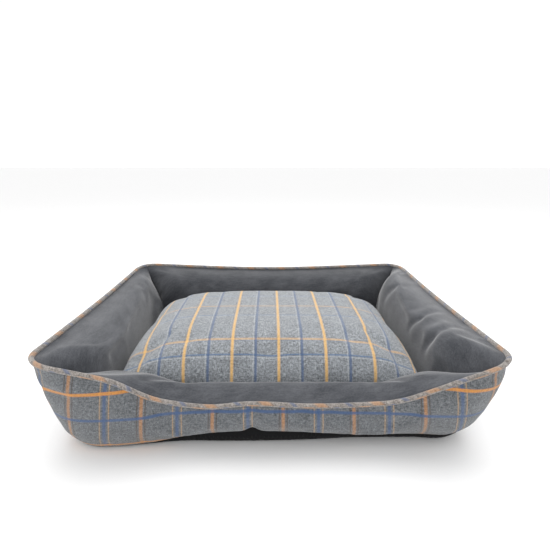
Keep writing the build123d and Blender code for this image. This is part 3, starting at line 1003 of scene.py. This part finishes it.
def build_lining():
    """Floor of the well under the cushion, a little padded."""
    shares = [np.linspace(-1, 1, cells + 1) for cells in LINING_CELLS]
    share_x, share_y = np.meshgrid(*shares)
    x = share_x * (WELL_X + LINING_OVERLAP)
    y = (WELL_BACK - WELL_FRONT) / 2 + share_y * ((WELL_FRONT + WELL_BACK) / 2 + LINING_OVERLAP)
    pad = np.clip(1 - share_x**8, 0, 1) * np.clip(1 - share_y**8, 0, 1)
    points = np.stack([x, y, LINING_EDGE_Z + LINING_PAD * pad], axis=-1)
    points[..., 2] -= LINING_WRINKLE * (1 - pad * np.abs(ripple(points, 0.05, 9)))
    piece = grid_piece("base_lining_cloth", points, points[..., :2])
    dress(smooth(piece), "lining_cloth")
    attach(piece, "bed")
    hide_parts("base_lining", "base_pad")


# ---------------------------------------------------------------- cushion

CUSHION_CROWN = TOP_HIGH.z - 0.004
CUSHION_SEAM = TOP_LOW.z
CUSHION_MIDDLE = (TOP_LOW.y + TOP_HIGH.y) / 2
CUSHION_DEPTH = TOP_HIGH.y - TOP_LOW.y
# The dome's fullness along each axis, how far its sides pull in and how far they puff out past the seam.
DOME_POWER = (5.5, 4.2)
DOME_ROUND = 0.5
SEAM_PULL = 0.004
SIDE_PUFF = (0.014, 0.008)
# How much the plaid's lines follow the cushion's own bulges rather than lie straight.
LINE_BEND = 0.20


def cushion_grid():
    """Flat shares of the cushion's panels, -1 to 1 both ways, closer together near the seam."""
    def shares(cells):
        t = np.linspace(-1, 1, cells + 1)
        return np.sign(t) * (1 - (1 - np.abs(t)) ** 1.35)
    return np.meshgrid(shares(CUSHION_CELLS[0]), shares(CUSHION_CELLS[1]))


def cushion_points(share_x, share_y, height, puff):
    """Points over the cushion's outline, straight along its zip; puff is how far each stands out, 0 to 1."""
    half_x = TOP_HIGH.x - SEAM_PULL * np.cos(share_y * math.pi / 2)
    half_y = CUSHION_DEPTH / 2 - SEAM_PULL * np.cos(share_x * math.pi / 2) * (share_y < 0)
    x = share_x * half_x + np.sign(share_x) * share_x**4 * puff * SIDE_PUFF[0]
    y = share_y * half_y + np.sign(share_y) * share_y**4 * puff * SIDE_PUFF[1]
    return np.stack([x, CUSHION_MIDDLE + y, height], axis=-1)


def centred_cloth(points):
    """Cloth coordinates of a panel: lengths along it from its middle lines."""
    along_x = arc_lengths(points, 1)
    along_y = arc_lengths(points, 0)
    mid_col, mid_row = points.shape[1] // 2, points.shape[0] // 2
    along_x = along_x - along_x[:, mid_col:mid_col + 1]
    along_y = along_y - along_y[mid_row:mid_row + 1]
    even_x = LINE_BEND * along_x + (1 - LINE_BEND) * along_x[mid_row:mid_row + 1]
    even_y = LINE_BEND * along_y + (1 - LINE_BEND) * along_y[:, mid_col:mid_col + 1]
    return np.stack([even_x, even_y], axis=-1)


# The lower flank: how far it runs in, its rows and the zip's groove as shares of the way down, the groove's
# depth and half length, and how much the corners tuck in.
FLANK_RUN = 0.030
FLANK_ROWS = [0.0, 0.10, 0.20, 0.30, 0.397, 0.405, 0.48, 0.555, 0.563, 0.66, 0.76, 0.86, 0.94, 1.0]
ZIP_ROWS = (0.400, 0.560)
ZIP_GROOVE = 0.0024
ZIP_HALF = 0.202
CORNER_TUCK = 0.035
FLAT_RINGS = 14


def build_underside(share_x, share_y):
    """Lower cover: a sloping flank all round, grooved at the back for the zip, and a flat bottom."""
    edge_x = np.concatenate([share_x[0, :-1], share_x[:-1, -1], share_x[-1, :0:-1], share_x[:0:-1, 0]])
    edge_y = np.concatenate([share_y[0, :-1], share_y[:-1, -1], share_y[-1, :0:-1], share_y[:0:-1, 0]])
    seam_line = cushion_points(edge_x, edge_y, np.full(len(edge_x), CUSHION_SEAM), 0 * edge_x)
    deep = CUSHION_SEAM - PAD_LOW.z
    fall = math.hypot(FLANK_RUN, deep)
    half = np.array([TOP_HIGH.x, CUSHION_DEPTH / 2])
    corner = np.minimum(np.abs(edge_x), np.abs(edge_y)) ** 10
    slope_out = np.array([0, deep / fall, -FLANK_RUN / fall])
    rows = []
    for share in FLANK_ROWS:
        inset = FLANK_RUN * share
        scale = (1 - inset / half) * (1 - CORNER_TUCK * share * corner[:, None])
        plan = (seam_line[:, :2] - (0, CUSHION_MIDDLE)) * scale + (0, CUSHION_MIDDLE)
        ring = np.column_stack([plan, np.full(len(plan), CUSHION_SEAM - deep * share)])
        if ZIP_ROWS[0] < share < ZIP_ROWS[1]:
            past_end = smoothstep(np.abs(ring[:, 0]), ZIP_HALF, ZIP_HALF + 0.004)
            in_zip = (edge_y > 0.999) * (1 - past_end)
            ring = ring - in_zip[:, None] * ZIP_GROOVE * slope_out
        rows.append(ring)
    centre = np.array([0.0, CUSHION_MIDDLE, PAD_LOW.z])
    flat = rows[-1]
    for share in np.linspace(0, 0.95, FLAT_RINGS)[1:]:
        rows.append(flat + (centre - flat) * share)
    points = np.array(rows[::-1])
    flank_left = np.maximum(0, fall - arc_lengths(points[::-1], 0)[::-1])
    cloth = points[..., :2] * (1 + 0.5 * flank_left[..., None])
    uvs = np.concatenate([cloth, cloth[:, :1]], axis=1)
    piece = grid_piece("cushion_bottom_cover", points[:, ::-1], uvs[:, ::-1], closed=True)
    fill_hole(piece, points.shape[1], centre)
    dress(piece, "cushion_underside")
    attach(piece, "cushion")
    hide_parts("cushion_bottom_panel")


def build_cushion():
    """The loose cushion: a domed plaid top and the underside."""
    share_x, share_y = cushion_grid()
    dome = ((1 - np.abs(share_x) ** DOME_POWER[0]) * (1 - np.abs(share_y) ** DOME_POWER[1])) ** DOME_ROUND
    rise = CUSHION_CROWN - CUSHION_SEAM
    top = cushion_points(share_x, share_y, CUSHION_SEAM + rise * dome, 4 * dome * (1 - dome))
    panel = grid_piece("cushion_top_cover", top, centred_cloth(top))
    swell(panel, grid_edge(top), pressure=1.6, growth=0.015, frames=18, cap=0.008)
    dress(smooth(panel), "plaid_cushion")
    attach(panel, "cushion")
    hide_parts("cushion_top_panel", "cushion_liner", "cushion_fill")
    build_underside(share_x, share_y)


def dress_zip():
    """Gives the CAD zip parts their materials."""
    for node, material in {
        "zip_tapes": "zip_tape", "zip_coil": "zip_coil", "zip_stops": "zip_metal",
        "zip_slider": "zip_metal", "zip_pull": "zip_metal",
    }.items():
        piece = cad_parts[node]
        piece.data.materials.clear()
        piece.data.materials.append(MATERIALS[material])


# ---------------------------------------------------------------- camera, floor and light

def build_camera():
    """Camera in front of the bed, looking down on it."""
    data = bpy.data.cameras.new("camera")
    camera = bpy.data.objects.new("camera", data)
    bpy.context.scene.collection.objects.link(camera)
    data.sensor_width = 36.0
    data.lens = 26.0
    data.shift_x = 0.009
    data.shift_y = 0.142
    data.dof.use_dof = False
    camera.location = (0.0, CAD_LOW.y - 0.473, 0.426)
    camera.rotation_euler = (math.radians(90 - 25.8), 0, 0)
    bpy.context.scene.camera = camera


def area_light(name, place, aim, size, power):
    """A soft rectangular lamp at a place, turned to its aim."""
    data = bpy.data.lights.new(name, "AREA")
    data.shape = "RECTANGLE"
    data.size, data.size_y = size
    data.energy = power
    light = bpy.data.objects.new(name, data)
    light.location = place
    light.rotation_euler = (Vector(aim) - Vector(place)).to_track_quat("-Z", "Y").to_euler()
    bpy.context.scene.collection.objects.link(light)


FLOOR_REACH = 30.0


def build_studio():
    """Plain pale floor, white surroundings and soft lamps overhead."""
    mesh = bpy.data.meshes.new("floor")
    corners = [(x * FLOOR_REACH, y * FLOOR_REACH, 0) for x, y in ((-1, -1), (1, -1), (1, 1), (-1, 1))]
    mesh.from_pydata(corners, [], [(0, 1, 2, 3)])
    floor = bpy.data.objects.new("floor", mesh)
    material, _, shader = new_material("floor_paper", 0.9)
    shader.inputs["Base Color"].default_value = (0.93, 0.93, 0.93, 1)
    mesh.materials.append(material)
    bpy.context.scene.collection.objects.link(floor)
    world = bpy.data.worlds.new("studio")
    world.use_nodes = True
    background = world.node_tree.nodes["Background"]
    background.inputs["Color"].default_value = (1, 1, 1, 1)
    background.inputs["Strength"].default_value = 1.03
    bpy.context.scene.world = world
    area_light("overhead", (0.1, 0.5, 2.2), (0, 0, 0.1), (2.6, 2.0), 34)
    area_light("front_fill", (-0.8, -2.2, 1.2), (0, 0, 0.1), (1.6, 1.2), 8)
    bpy.context.scene.view_settings.view_transform = "Standard"


build_camera()
build_studio()
build_outer_walls()
build_bolsters()
build_piping()
build_base()
build_lining()
build_cushion()
dress_zip()
